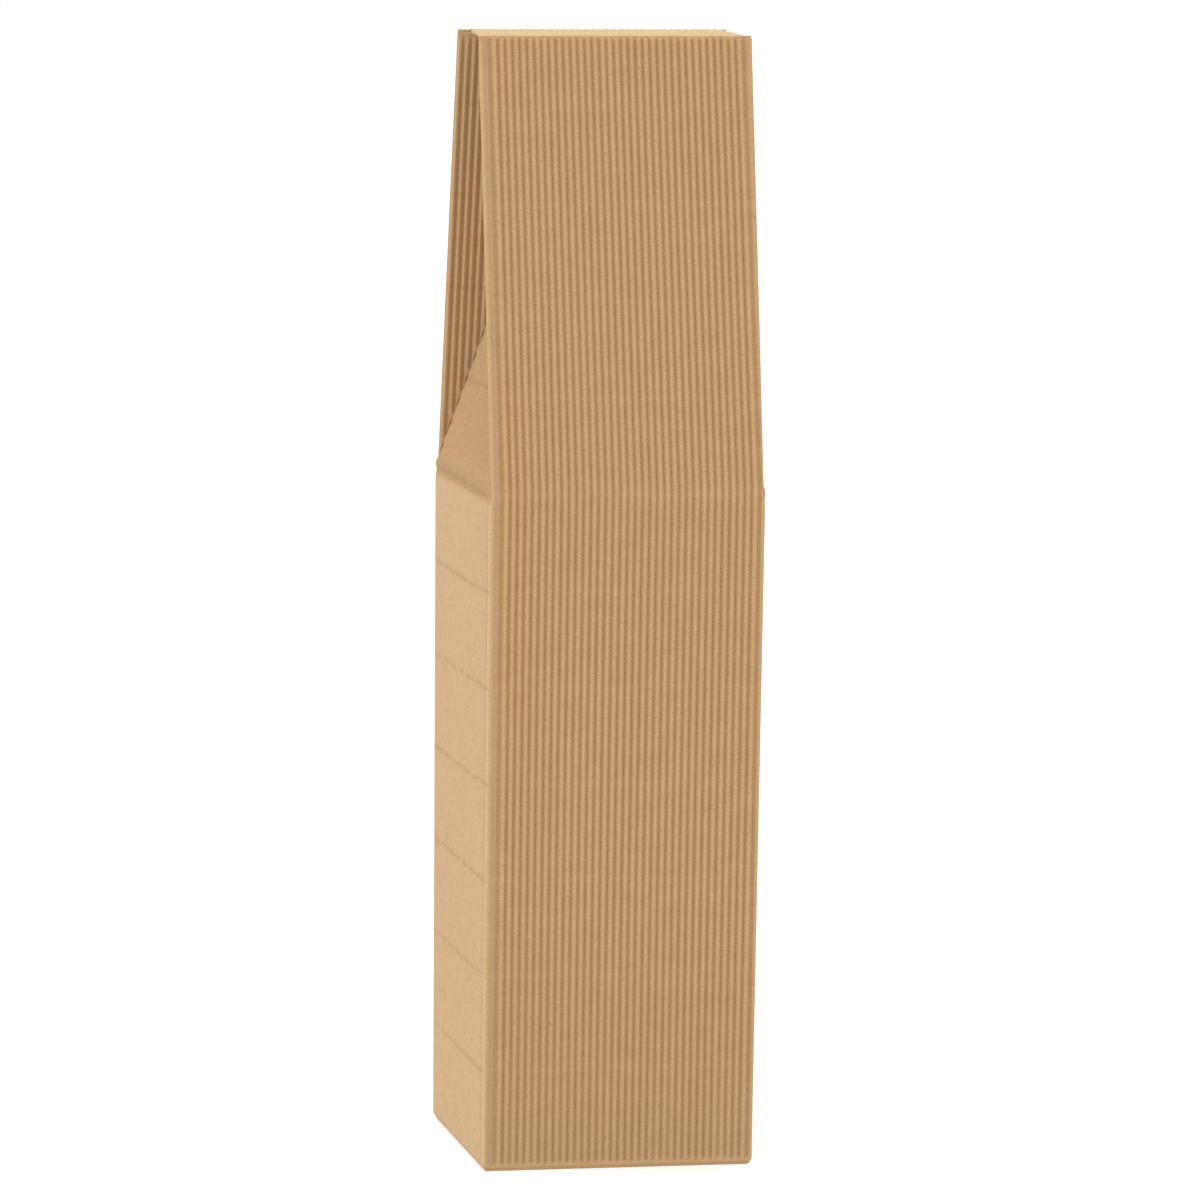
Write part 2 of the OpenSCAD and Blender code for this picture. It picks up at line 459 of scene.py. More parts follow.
@dataclass
class Relief:
    """How high the wavy sheet stands over the plain one, and where creasing has pushed the board in."""

    blank: Blank
    board: Board
    flap: bool = False
    flap_share: float = 0.13
    strip_share: float = 0.62
    left_shift: float = 0.62
    cross_low: float = 215.9
    cross_high: float = 219.0
    foot_full: float = 3.4
    foot_share: float = 0.72
    crushed_share: float = 0.02
    crest_power: float = 0.8
    strip_swell: float = 0.1
    strip_wave: float = 3.4
    strip_reach: float = 8.0
    narrow_margin: float = 1.9
    right_margin: Triple = (1.0, 1.2, 2.7)
    score_top: float = 217.0
    score_off: float = 2.2
    dent: float = 217.9
    knuckle: float = 224.0
    bow: float = 0.25

    def __post_init__(self) -> None:
        """Draws the small differences between one flute and the next."""
        rng = np.random.default_rng(7)
        self.heights = 0.95 + 0.05 * rng.random(MOST_FLUTES)
        self.ends = rng.random(MOST_FLUTES)

    def flute(self, s: Array, v: Array) -> tuple[Array, Array]:
        """Finds the flute under each point.

        Args:
            s, v: Distances across the flutes, as if they were evenly spaced, and along them.

        Returns:
            The numbers of the flutes, and the points' shares of a flute's full height.
        """
        b = self.blank
        wander = 0.05 * np.sin(v / 41.0 + s / 19.0) + 0.03 * np.sin(v / 13.0 + s / 7.0)
        phase = (s + wander - b.front - b.first_valley) / self.board.pitch
        phase = phase + np.where((s > b.left) & (s < b.front), self.left_shift, 0.0)
        number = np.floor(phase).astype(int) % MOST_FLUTES
        crest = (0.5 - 0.5 * np.cos(TURN * phase)) ** self.crest_power
        return number, crest * self.heights[number]

    def strip(self, height: Array, away: Array, margin: Array | float) -> Array:
        """Presses the flutes into a low smooth strip beside an upright fold.

        Args:
            height: The flutes' shares of their full height.
            away: Distances from the fold, above 0 on this facet.
            margin: Width of the strip.

        Returns:
            The shares with the strip.
        """
        flat = self.strip_share + self.strip_swell * np.cos(TURN * away / self.strip_wave)
        flutes = smooth((away - margin + 0.15) / 0.45)
        return height * flutes + flat * (1.0 - smooth((away - margin + 0.75) / 0.6))

    def side_strip(self, u: Array, v: Array, height: Array) -> Array:
        """Presses the flutes down beside every upright fold.

        Args:
            u, v: Distances across and along the flutes.
            height: The flutes' shares of their full height.

        Returns:
            The shares with the strips.
        """
        b = self.blank
        right = np.interp(v, (0.0, b.body_h, b.top), self.right_margin)
        narrow, wide = self.narrow_margin, b.first_valley - 0.4
        strips = (
            (b.seam_step, 1, narrow), (b.left, -1, narrow),
            (b.left, 1, 0.35), (b.front, -1, 1.35),
            (b.front, 1, wide), (b.right, -1, right),
            (b.right, 1, narrow), (b.end, -1, narrow),
        )
        for at, turn, margin in strips:
            away = turn * (u - at)
            beside = (away >= 0.0) & (away < self.strip_reach)
            height = np.where(beside, self.strip(height, away, margin), height)
        return height

    def diagonals(self, u: Array, v: Array) -> Array:
        """What the crimps beside the gussets' diagonal folds leave of the flutes' height.

        Args:
            u, v: Distances across and along the flutes.

        Returns:
            The shares that are left.
        """
        b = self.blank
        share = np.ones_like(u)
        for wall, _, crease in b.diagonals():
            away = np.abs(crease.inside(u, v))
            on = (u > wall.start - 0.01) & (u < wall.stop + 0.01) & (v > b.body_h - 4.0)
            bead = smooth((away - 0.35) / 0.6) * (1.0 - 0.55 * bump(away - 1.6, 0.45))
            share = np.where(on, share * bead, share)
        return share

    def share(self, s: Array, v: Array) -> Array:
        """How high the wavy sheet stands.

        Args:
            s, v: Distances across the flutes, as if they were evenly spaced, and along them.

        Returns:
            The sheet's height at each point, as a share of a flute's full height.
        """
        b = self.blank
        u = b.spread(s, v)
        number, height = self.flute(s, v)
        height = self.side_strip(u, v, height)
        ending = smooth((b.top - v - 0.2 - 0.5 * self.ends[number]) / 0.7)
        if self.flap:
            return height * (self.flap_share + (1.0 - self.flap_share) * ending)
        height = height * self.diagonals(u, v)
        sides = self.on_sides(u)
        sill = np.where(sides > 0.5, b.side_sill, np.where(u < b.left, b.back_sill, b.front_sill))
        filled = smooth((self.foot_full - 0.5 * self.ends[number] - v) / 1.4)
        height = height + (self.foot_share - height) * filled * smooth((v - sill - 0.5) / 0.3)
        height = height * smooth((v - sill - 0.6) / 0.5)
        press = smooth((v - self.cross_low) / 1.2) * (1.0 - smooth((v - self.cross_high) / 6.0))
        height = height * (1.0 - 0.6 * sides * press * self.off_corners(u))
        score = np.where(v < self.score_top, 0.9, 0.0) * bump(u - b.front + self.score_off, 0.9)
        height = height * (1.0 - score)
        brow = smooth((v - b.top + b.gusset_trim + 2.5) / 0.8)
        height = height * (1.0 - 0.85 * sides * brow)
        height = height * (1.0 - (1.0 - sides) * 0.10 * bump(v - b.body_h, 1.6))
        height = np.where((u > b.front) & (u < b.right), height * ending, height)
        return np.where((u < b.seam_step) | (v < sill), self.crushed_share, height)

    def on_sides(self, u: Array) -> Array:
        """1 on the left and right sides, and 0 on the front and back."""
        b = self.blank
        return (((u > b.left) & (u < b.front)) | (u > b.right)).astype(float)

    def off_corners(self, u: Array) -> Array:
        """1 away from the upright folds, and 0 close to them."""
        b = self.blank
        near = np.minimum(np.abs(u - b.left), np.abs(u - b.front))
        near = np.minimum(near, np.minimum(np.abs(u - b.right), np.abs(u - b.end)))
        return smooth((near - 0.8) / 3.2)

    def push(self, u: Array, v: Array) -> Array:
        """How far creasing and handling have moved the whole board.

        Args:
            u, v: Distances across and along the flutes.

        Returns:
            The distances outwards, in millimetres.
        """
        b = self.blank
        if self.flap:
            return -0.22 * bump(v - b.top, 0.7) - 0.3 * bump(v - b.top - b.flap_l, 0.9)
        moved = np.zeros_like(u)
        for wall in b.walls:
            moved -= 0.1 * bump(u - wall.fold, 0.7)
        sides = self.on_sides(u)
        for _, _, crease in b.diagonals():
            moved += np.where(v > b.body_h, 0.16, 0.0) * sides * bump(crease.inside(u, v), 0.6)
        dents = 0.36 * bump(v - self.dent, 1.2) + 0.12 * bump(v - self.knuckle, 1.6)
        moved -= sides * self.off_corners(u) * dents
        moved += 0.2 * bump(u - b.left, 1.8) * bump(v - self.knuckle, 4.0)
        up_wall = np.sin(math.pi * np.clip(v / b.body_h, 0.0, 1.0)) ** 2
        moved -= self.bow * up_wall * np.sin(TURN * 2.0 * (u % b.front) / b.front) ** 2
        return moved


class Layer(Enum):
    """The two papers that the board is glued from."""

    WAVY = "wavy"
    PLAIN = "plain"


# Where the flat grid is divided: shares of a flute, numbers of flutes, and millimetres from the folds.
CORNER_COLUMNS = (-1.5, -0.95, -0.6, -0.3, 0.0, 0.3, 0.6, 0.95, 1.5)
FINE_FLUTE = (0.0, 0.17, 0.33, 0.5, 0.67, 0.83)
PLAIN_FLUTE = (0.0, 0.2, 0.4, 0.6, 0.8)
FINE_NUMBERS = (-40, 37)
SEEN_NUMBERS = (-90, 90)
SHIFTED_NUMBERS = (-40, -2)
FOOT_ROWS = (-2.0, -0.6, 0.0, 0.5, 1.0, 1.5, 2.0, 2.5, 3.2)
BODY_ROWS = (
    *(45.0, 90.0, 135.0, 180.0, 212.0, 215.0, 216.4, 217.3, 218.0, 218.7, 219.8, 221.5),
    *(223.2, 224.1, 225.0, 227.0, 250.0, 280.0, 310.0, 340.0),
)
CROWN_ROWS = (-1.2, -0.8, -0.4, 0.0, 0.4, 0.8, 1.2, 6.0, 12.0, 18.0, 24.0)
TONGUE_ROWS = (-3.2, -1.8, -1.1, -0.7, -0.35, 0.0, 0.35, 0.7, 1.1, 5.0, 9.0)
DIAGONAL_LINES = (-2.3, -1.6, -1.0, -0.5, 0.0, 0.5, 1.0, 1.6, 2.3)
CORNER_DEGREES = (9.0, 27.0, 45.0, 63.0, 81.0)


@dataclass
class SheetPiece:
    """One paper of the folded board, made flat, cut out, thickened and folded."""

    blank: Blank
    board: Board
    layer: Layer
    flap: bool = False

    def relief(self) -> Relief:
        """The relief of this piece's wavy sheet."""
        return Relief(self.blank, self.board, self.flap)

    def flap_span(self) -> tuple[float, float]:
        """Where the top flap begins and ends across the flutes."""
        return self.blank.front, self.blank.right - self.blank.flap_short

    def marks(self) -> list[float]:
        """Where the paper is divided across the flutes, apart from its folds and edges."""
        b = self.blank
        if self.layer is Layer.PLAIN:
            return [mark for wall in b.walls for mark in np.linspace(wall.start + 3.0, wall.stop - 3.0, 26)]
        found: list[float] = []
        for number in range(*SEEN_NUMBERS):
            first = b.front + b.first_valley
            if SHIFTED_NUMBERS[0] <= number <= SHIFTED_NUMBERS[1]:
                first -= Relief.left_shift * self.board.pitch
            shares = FINE_FLUTE if FINE_NUMBERS[0] <= number <= FINE_NUMBERS[1] else PLAIN_FLUTE
            found += [first + (number + s) * self.board.pitch for s in shares]
        return found

    def columns(self) -> Array:
        """Where the flat grid is divided across the flutes."""
        b = self.blank
        kept = np.array(sorted(m for m in self.marks() if 0.9 < m < b.end - 0.3))
        extra: list[float] = [-b.seam_w, -b.seam_w / 2.0, b.end + 0.3]
        for wall in b.walls:
            extra += [wall.fold + d for d in CORNER_COLUMNS]
        for mark in extra:
            kept = kept[np.abs(kept - mark) > 0.14]
        kept = kept[np.concatenate([[True], np.diff(kept) > 0.1])]
        every = np.array(sorted(list(kept) + extra))
        if not self.flap:
            return every
        first, last = self.flap_span()
        inner = every[(every > first + 0.05) & (every < last - 0.05)]
        return np.concatenate([[first], inner, [last]])

    def rows(self) -> Array:
        """Where the flat grid is divided along the flutes."""
        b = self.blank
        if self.flap:
            rear = b.top + b.flap_l
            marks = [b.top + d for d in CROWN_ROWS] + [rear - b.flap_corner]
            return np.array(marks + [rear + d for d in (*TONGUE_ROWS, b.tongue_l)])
        marks = [b.front_sill - b.bottom_l, b.side_sill - b.dust_l, *FOOT_ROWS, *BODY_ROWS]
        marks += [b.top - d for d in (4.0, 2.6, 1.9, b.flap_start, b.gusset_trim, 0.0)]
        return np.array(marks)

    def flat(self) -> FlatSheet:
        """The flat sheet as a grid of uneven columns and rows."""
        columns, rows = self.columns(), self.rows()
        bm = bmesh.new()
        bmesh.ops.create_grid(bm, x_segments=len(columns) - 1, y_segments=len(rows) - 1, size=0.5)
        for vert in bm.verts:
            column = round((vert.co.x + 0.5) * (len(columns) - 1))
            row = round((vert.co.y + 0.5) * (len(rows) - 1))
            vert.co = (columns[column], rows[row], 0.0)
        return bm

    def cut(
        self,
        bm: FlatSheet,
        point: tuple[float, float],
        out: tuple[float, float],
        keep: Callable[[Vector], bool],
        clear: bool,
    ) -> None:
        """Cuts the flat sheet along a line.

        Args:
            bm: The flat sheet.
            point: A point on the line.
            out: The direction square to the line, towards what may be cleared.
            keep: Says of a face's middle whether the cut reaches it.
            clear: Whether what lies beyond the line goes.
        """
        faces = [f for f in bm.faces if keep(f.calc_center_median())]
        edges = list({e for f in faces for e in f.edges})
        verts = list({v for f in faces for v in f.verts})
        bmesh.ops.bisect_plane(
            bm, geom=faces + edges + verts, dist=0.01, plane_co=(*point, 0.0),
            plane_no=(*out, 0.0), clear_outer=clear,
        )

    def cut_diagonals(self, bm: FlatSheet) -> None:
        """Gives the sheet lines of its own along the gussets' diagonal folds."""
        b = self.blank
        for wall, start, line in b.diagonals():

            def near(middle: Vector, wall: Wall = wall) -> bool:
                return wall.start < middle.x < wall.stop and middle.y > b.body_h - 2.5

            for offset in DIAGONAL_LINES:
                point = (start + line.across * offset, b.body_h + line.along * offset)
                self.cut(bm, point, (line.across, line.along), near, clear=False)

    def outside(self, middle: Vector) -> bool:
        """Whether the middle of a face is outside the board that is cut out."""
        b = self.blank
        u, v, inset = middle.x, middle.y, 1.2
        if u < b.seam_step:
            return v < 7.0 or v > b.top - 8.0
        wall = next((w for w in b.walls if u < w.stop), b.walls[-1])
        first, last = self.flap_span()
        top = b.top - b.flap_start if first < u < last else wall.top
        if v > top:
            return True
        if v > 0.0:
            return False
        return v < wall.sill - wall.flap_l or not wall.fold + inset < u < wall.stop - inset

    def cut_out(self, bm: FlatSheet) -> None:
        """Deletes what lies outside the board."""
        if self.flap:
            self.cut_flap(bm)
            return
        gone = [face for face in bm.faces if self.outside(face.calc_center_median())]
        bmesh.ops.delete(bm, geom=gone, context="FACES")

    def cut_flap(self, bm: FlatSheet) -> None:
        """Tapers the flap's left edge, rounds its corners and narrows its tongue."""
        b = self.blank
        rear = b.top + b.flap_l
        first, last = self.flap_span()
        radius = b.flap_corner
        taper = unit(np.array([b.flap_l, -b.flap_taper]))

        def on_flap(middle: Vector) -> bool:
            return b.top + 0.3 < middle.y < rear

        self.cut(bm, (first, b.top + 0.4), (-taper[0], -taper[1]), on_flap, clear=True)
        for centre, sign in ((first + b.flap_taper + radius, -1.0), (last - radius, 1.0)):

            def corner(middle: Vector, centre: float = centre, sign: float = sign) -> bool:
                return rear - radius < middle.y < rear and sign * (middle.x - centre) > 0.0

            for degrees in CORNER_DEGREES:
                turn = math.radians(degrees)
                out = (sign * math.cos(turn), math.sin(turn))
                point = (centre + radius * out[0], rear - radius + radius * out[1])
                self.cut(bm, point, out, corner, clear=True)
        run = unit(np.array([b.tongue_l, b.tongue_root - b.tongue_tip]))
        for sign in (-1.0, 1.0):
            point = (b.front + b.half_w + sign * b.tongue_root, rear)
            self.cut(bm, point, (sign * run[0], run[1]), lambda middle: middle.y > rear, clear=True)

    def lift(self, s: Array, v: Array, inner: Array) -> tuple[Array, Array]:
        """Gives the flat sheet its relief.

        Args:
            s, v: Distances across the flutes, as if they were evenly spaced, and along them.
            inner: Whether each point is on the side that faces into the box.

        Returns:
            The heights, and the distances across the flutes on the board, moved so that the paper keeps
            its thickness on the flutes' flanks.
        """
        board = self.board
        u = self.blank.spread(s, v)
        relief = self.relief()
        push = relief.push(u, v)
        if self.layer is Layer.PLAIN:
            return np.where(inner, board.plain_in, board.plain_out) + push, u
        span = board.crest - board.glued
        height = board.glued + span * relief.share(s, v)
        step = 0.03
        tilt = span * (relief.share(s + step, v) - relief.share(s - step, v)) / (2.0 * step)
        length = np.sqrt(1.0 + tilt * tilt)
        thick = board.wavy_paper
        moved_u = np.where(inner, u + thick * tilt / length, u)
        low = np.maximum(height - thick / length, board.plain_out + 0.002)
        return np.where(inner, low, height) + push, moved_u

    def worn(self, u: Array, v: Array) -> Array:
        """How near each point is to a fold, where a highlight is painted on the paper."""
        b = self.blank
        if self.flap:
            return np.maximum(bump(v - b.top, 1.0), 0.7 * bump(v - b.top - b.flap_l, 1.2))
        near = np.zeros_like(u)
        for at in (*(wall.fold for wall in b.walls), b.end):
            near = np.maximum(near, bump(u - at, 0.9))
        gussets = np.where(v > b.body_h, self.relief().on_sides(u), 0.0)
        for _, _, crease in b.diagonals():
            near = np.maximum(near, gussets * bump(crease.inside(u, v), 0.9))
        return np.maximum(near, 0.8 * bump(v - b.front_sill, 1.4))

    def thicken(self, bm: FlatSheet) -> float:
        """Gives the flat sheet two sides, with its outer side up and the cut edges in a slot of their own.

        Args:
            bm: The flat sheet.

        Returns:
            The height of its outer side.
        """
        bmesh.ops.triangulate(bm, faces=[f for f in bm.faces if len(f.verts) > 4])
        bmesh.ops.solidify(bm, geom=list(bm.faces), thickness=self.board.wavy_paper)
        levels = [v.co.z for v in bm.verts]
        middle, highest = (min(levels) + max(levels)) / 2.0, max(levels)
        for face in bm.faces:
            face.smooth = True
            if abs(face.normal.z) < 0.5:
                face.material_index = CUT_EDGE_SLOT
        upper = [f for f in bm.faces if abs(f.normal.z) > 0.5 and f.calc_center_median().z > middle]
        if upper and upper[0].normal.z < 0.0:
            bmesh.ops.reverse_faces(bm, faces=list(bm.faces))
        return highest

    def build(self, name: str) -> bpy.types.Object:
        """Makes the folded sheet as an object.

        Args:
            name: The object's name.

        Returns:
            The object, linked to the scene.
        """
        bm = self.flat()
        if not self.flap:
            self.cut_diagonals(bm)
        self.cut_out(bm)
        highest = self.thicken(bm)
        mesh = bpy.data.meshes.new(name)
        bm.to_mesh(mesh)
        bm.free()
        flat = np.zeros(len(mesh.vertices) * 3)
        mesh.vertices.foreach_get("co", flat)
        flat = flat.reshape(-1, 3)
        s, v = flat[:, 0].copy(), flat[:, 1].copy()
        u = self.blank.spread(s, v)
        inner = np.abs(flat[:, 2] - highest) > self.board.wavy_paper / 2.0
        w, moved_u = self.lift(s, v, inner)
        facets = self.blank.flap_facets() if self.flap else self.blank.facets()
        place = fold(facets, moved_u, v, w)
        place[:, 2] = np.maximum(place[:, 2], 0.0)
        self.blank.settle(place)
        mesh.vertices.foreach_set("co", (place * MM).ravel())
        self.mark(mesh, s, u, v)
        mesh.set_sharp_from_angle(angle=math.radians(48.0))
        mesh.update()
        log.info("%s: %d faces", name, len(mesh.polygons))
        return add_object(name, mesh)

    def margin(self, u: Array) -> Array:
        """How near each point is to the middle of the smooth margin along the front's left edge, where
        painted shade darkens the dip.
        """
        b = self.blank
        start, stop = b.front + 0.4, b.front + b.first_valley - 0.7
        return 1.3 * smooth((u - start) / 0.8) * smooth((stop - u) / 0.8)

    def foot(self, u: Array, v: Array) -> Array:
        """How near each point of the front is to its foot, where painted shade darkens the front towards the
        bottom.
        """
        b = self.blank
        return np.where((u > b.front + 0.3) & (u < b.right), 0.9, 0.0) * smooth(1.0 - v / 90.0)

    def mark(self, mesh: bpy.types.Mesh, s: Array, u: Array, v: Array) -> None:
        """Stores on the mesh what the materials read.

        Args:
            mesh: The folded sheet.
            s: Distances across the flutes, as if they were evenly spaced.
            u: Distances across the flutes on the board.
            v: Distances along the flutes.
        """
        sides = self.relief().on_sides(u)
        values = {
            "crest": self.relief().share(s, v) if self.layer is Layer.WAVY else np.zeros_like(s),
            # Painted highlight: nearness to the folds, where the paper is painted lighter.
            "worn": self.worn(u, v),
            "side": sides,
            # Painted light: the sides below the cross crease are painted paler, as if lit by the key lamp on
            # the left.
            "pale": sides * (1.0 - smooth((v - 215.0) / 3.0)),
            # Painted shade: the gussets above the cross crease, the dip in the front's left margin and the
            # front towards its foot are painted darker.
            "painted_shade": sides * smooth((v - 216.0) / 3.0) + self.margin(u) + self.foot(u, v),
            "crown": smooth((v - self.blank.top + 0.35) / 0.5) if self.flap else np.zeros_like(u),
        }
        for label, numbers in values.items():
            attribute = mesh.attributes.new(label, "FLOAT", "POINT")
            attribute.data.foreach_set("value", numbers.astype(np.float32))
        corners = np.zeros(len(mesh.loops), dtype=np.int32)
        mesh.loops.foreach_get("vertex_index", corners)
        layer = mesh.uv_layers.new(name="sheet")
        flat = np.column_stack([u[corners], v[corners]]) * MM
        layer.uv.foreach_set("vector", flat.astype(np.float32).ravel())


class NodeTree:
    """A few short calls that lay out shader nodes."""

    def __init__(self, tree: bpy.types.NodeTree) -> None:
        """Works on this tree."""
        self.tree = tree

    def feed(self, value: object, target: Socket) -> None:
        """Joins a socket to the target, or sets the target to a plain value."""
        if isinstance(value, Socket):
            self.tree.links.new(value, target)
        else:
            target.default_value = value

    def node(
        self, kind: str, inputs: dict[str | int, object] | None = None, **settings: object
    ) -> bpy.types.Node:
        """Adds a node.

        Args:
            kind: The node's type.
            inputs: Sockets or plain values for its inputs.
            **settings: Its properties.

        Returns:
            The node.
        """
        made = self.tree.nodes.new(kind)
        for key, value in settings.items():
            setattr(made, key, value)
        for key, value in (inputs or {}).items():
            self.feed(value, made.inputs[key])
        return made

    def math(self, operation: str, first: object, second: object = 0.0) -> Socket:
        """Adds a sum of one or two values."""
        return self.node("ShaderNodeMath", {0: first, 1: second}, operation=operation).outputs[0]

    def plus(self, first: object, second: object) -> Socket:
        """Adds the sum of two values."""
        return self.math("ADD", first, second)

    def minus(self, first: object, second: object) -> Socket:
        """Adds the difference of two values."""
        return self.math("SUBTRACT", first, second)

    def times(self, first: object, second: object) -> Socket:
        """Adds the product of two values."""
        return self.math("MULTIPLY", first, second)

    def mix(self, factor: object, first: object, second: object) -> Socket:
        """Adds a mix of two colours."""
        inputs = {0: factor, 6: first, 7: second}
        return self.node("ShaderNodeMix", inputs, data_type="RGBA", blend_type="MIX").outputs[2]

    def noise(self, place: Socket, scale: float, detail: float, roughness: float = 0.55) -> Socket:
        """Adds a noise and gives its value."""
        inputs = {"Vector": place, "Scale": scale, "Detail": detail, "Roughness": roughness}
        return self.node("ShaderNodeTexNoise", inputs, noise_dimensions="3D").outputs[0]

    def stretched(self, place: Socket, scale: Triple, turn: float) -> Socket:
        """Turns and stretches coordinates."""
        inputs = {"Vector": place, "Rotation": (0.0, 0.0, turn), "Scale": scale}
        return self.node("ShaderNodeMapping", inputs).outputs[0]

    def ramp(self, value: Socket, low: float, high: float) -> Socket:
        """Maps a value from low to high onto 0 to 1."""
        inputs = {"Value": value, "From Min": low, "From Max": high}
        return self.node("ShaderNodeMapRange", inputs, interpolation_type="SMOOTHSTEP").outputs[0]


def new_group(name: str, outputs: tuple[str, ...]) -> tuple[NodeTree, Socket, bpy.types.Node]:
    """Starts a node group that reads the place on the flat board.

    Args:
        name: The group's name.
        outputs: The names of the values that it gives.

    Returns:
        The group's nodes, the socket of the place on the flat board and the output node.
    """
    group = bpy.data.node_groups.new(name, "ShaderNodeTree")
    group.interface.new_socket("Flat", in_out="INPUT", socket_type="NodeSocketVector")
    for label in outputs:
        group.interface.new_socket(label, in_out="OUTPUT", socket_type="NodeSocketFloat")
    tree = NodeTree(group)
    return tree, tree.node("NodeGroupInput").outputs["Flat"], tree.node("NodeGroupOutput")


def fibre_group() -> Group:
    """Builds the group for kraft paper's fibres: a cloudy tone, dark flecks and a fine height."""
    tree, flat, out = new_group("kraft_fibres", ("Tone", "Flecks", "Height"))
    cloud = tree.noise(flat, 140.0, 4.0, 0.6)
    grain = tree.noise(flat, 1500.0, 3.0, 0.65)
    long_fibres = tree.noise(tree.stretched(flat, (1.0, 0.16, 1.0), 0.35), 2600.0, 2.0, 0.5)
    cross_fibres = tree.noise(tree.stretched(flat, (0.2, 1.0, 1.0), -0.5), 2300.0, 2.0, 0.5)
    flecks = tree.noise(tree.stretched(flat, (1.0, 0.35, 1.0), 0.9), 900.0, 2.0, 0.5)
    fibres = tree.times(tree.plus(long_fibres, cross_fibres), 0.5)
    tone = tree.plus(tree.times(cloud, 0.2), tree.times(grain, 0.55))
    height = tree.plus(tree.times(fibres, 0.6), tree.times(grain, 0.4))
    tree.feed(tree.plus(tone, tree.times(fibres, 0.25)), out.inputs["Tone"])
    tree.feed(tree.ramp(flecks, 0.66, 0.76), out.inputs["Flecks"])
    tree.feed(height, out.inputs["Height"])
    return tree.tree


def finger_group() -> Group:
    """Builds the group for the faint lines that the corrugating rolls' fingers leave across the flutes."""
    spacing, first, wobble_m, half_width = 0.031, 0.0175, 0.0022, 0.05
    tree, flat, out = new_group("finger_lines", ("Lines",))
    split = tree.node("ShaderNodeSeparateXYZ", {0: flat})
    wobble = tree.times(tree.minus(tree.noise(flat, 60.0, 2.0), 0.5), wobble_m)
    cell = tree.math("DIVIDE", tree.minus(tree.plus(split.outputs[1], wobble), first), spacing)
    away = tree.math("ABSOLUTE", tree.minus(tree.math("FRACT", cell), 0.5))
    line = tree.minus(1.0, tree.ramp(away, 0.0, half_width))
    broken = tree.ramp(tree.noise(flat, 170.0, 2.0), 0.3, 0.55)
    tree.feed(tree.times(line, broken), out.inputs["Lines"])
    return tree.tree


@dataclass(frozen=True)
class KraftFinish:
    """Colours and relief of one kind of kraft paper."""

    light: Colour
    dark: Colour
    # Painted shade for the flute valleys; the same dark colour paints the flecks and the finger lines on the
    # sides.
    shade_and_fleck: Colour
    # Painted highlight along the folds; the same light colour paints the finger lines on the front.
    worn: Colour
    # Painted light that makes the sides below the cross crease paler.
    pale: Colour = srgb(214, 196, 168)
    # Painted shade on the gussets, in the dip of the front's left margin and towards the front's foot.
    painted_shade: Colour = srgb(168, 140, 106)
    fleck_share: float = 0.35
    valley_shade_share: float = 0.35
    highlight_share: float = 0.22
    painted_light_share: float = 0.27
    painted_shade_share: float = 0.3
    line_share: float = 0.24
    relief: float = 0.00006
    roughness: float = 0.86
    sheen: float = 0.25
    bump_strength: float = 0.6

    def colour(self, tree: NodeTree, marks: dict[str, Socket]) -> Socket:
        """Adds the paper's colour.

        Args:
            tree: The material's nodes.
            marks: The values that change over the surface, by name.

        Returns:
            The colour.
        """
        colour = tree.mix(tree.ramp(marks["tone"], 0.38, 0.62), self.dark, self.light)
        # Painted shade: the flute valleys, where the wavy sheet is low, are darkened.
        low = tree.minus(1.0, tree.ramp(marks["crest"], 0.0, 0.9))
        front = tree.minus(1.0, marks["side"])
        overlays = (
            (low, self.valley_shade_share, self.shade_and_fleck),
            # Painted highlight along the folds.
            (marks["worn"], self.highlight_share, self.worn),
            # Painted light on the sides below the cross crease.
            (marks["pale"], self.painted_light_share, self.pale),
            # Painted shade on the gussets, in the margin's dip and at the front's foot.
            (marks["painted_shade"], self.painted_shade_share, self.painted_shade),
            (tree.times(marks["lines"], marks["side"]), self.line_share, self.shade_and_fleck),
            (tree.times(marks["lines"], front), 0.5 * self.line_share, self.worn),
            (marks["flecks"], self.fleck_share, self.shade_and_fleck),
        )
        for mask, share, paint in overlays:
            colour = tree.mix(tree.times(mask, share), colour, paint)
        return colour

    def material(
        self,
        name: str,
        fibres: Group,
        fingers: Group,
        below: "KraftFinish | None" = None,
    ) -> bpy.types.Material:
        """Makes the material.

        Args:
            name: The material's name.
            fibres: The group for the paper's fibres.
            fingers: The group for the lines across the flutes.
            below: The finish below the crease of the top flap, on a sheet that crosses it.

        Returns:
            The material.
        """
        material, shader = new_material(name)
        tree = NodeTree(material.node_tree)
        flat = tree.node("ShaderNodeUVMap", uv_map="sheet").outputs[0]
        paper = tree.node("ShaderNodeGroup", node_tree=fibres)
        finger_lines = tree.node("ShaderNodeGroup", node_tree=fingers)
        for group in (paper, finger_lines):
            tree.feed(flat, group.inputs["Flat"])
        height, lines = paper.outputs["Height"], finger_lines.outputs["Lines"]
        marks = {"tone": paper.outputs["Tone"], "flecks": paper.outputs["Flecks"], "lines": lines}
        for label in ("crest", "worn", "side", "pale", "painted_shade", "crown"):
            marks[label] = tree.node("ShaderNodeAttribute", attribute_name=label).outputs["Fac"]
        colour = self.colour(tree, marks)
        if below is not None:
            # Below the flap's crease the outside paper, above it the paler flap paper, which is painted
            # light.
            colour = tree.mix(marks["crown"], below.colour(tree, marks), colour)
        tree.feed(colour, shader.inputs["Base Color"])
        rough = tree.plus(tree.times(height, 0.12), self.roughness - 0.06)
        tree.feed(rough, shader.inputs["Roughness"])
        raised = tree.plus(height, tree.times(lines, 0.8))
        relief = {"Distance": self.relief, "Strength": self.bump_strength, "Height": raised}
        tree.feed(tree.node("ShaderNodeBump", relief).outputs[0], shader.inputs["Normal"])
        shader.inputs["Specular IOR Level"].default_value = self.sheen
        return material


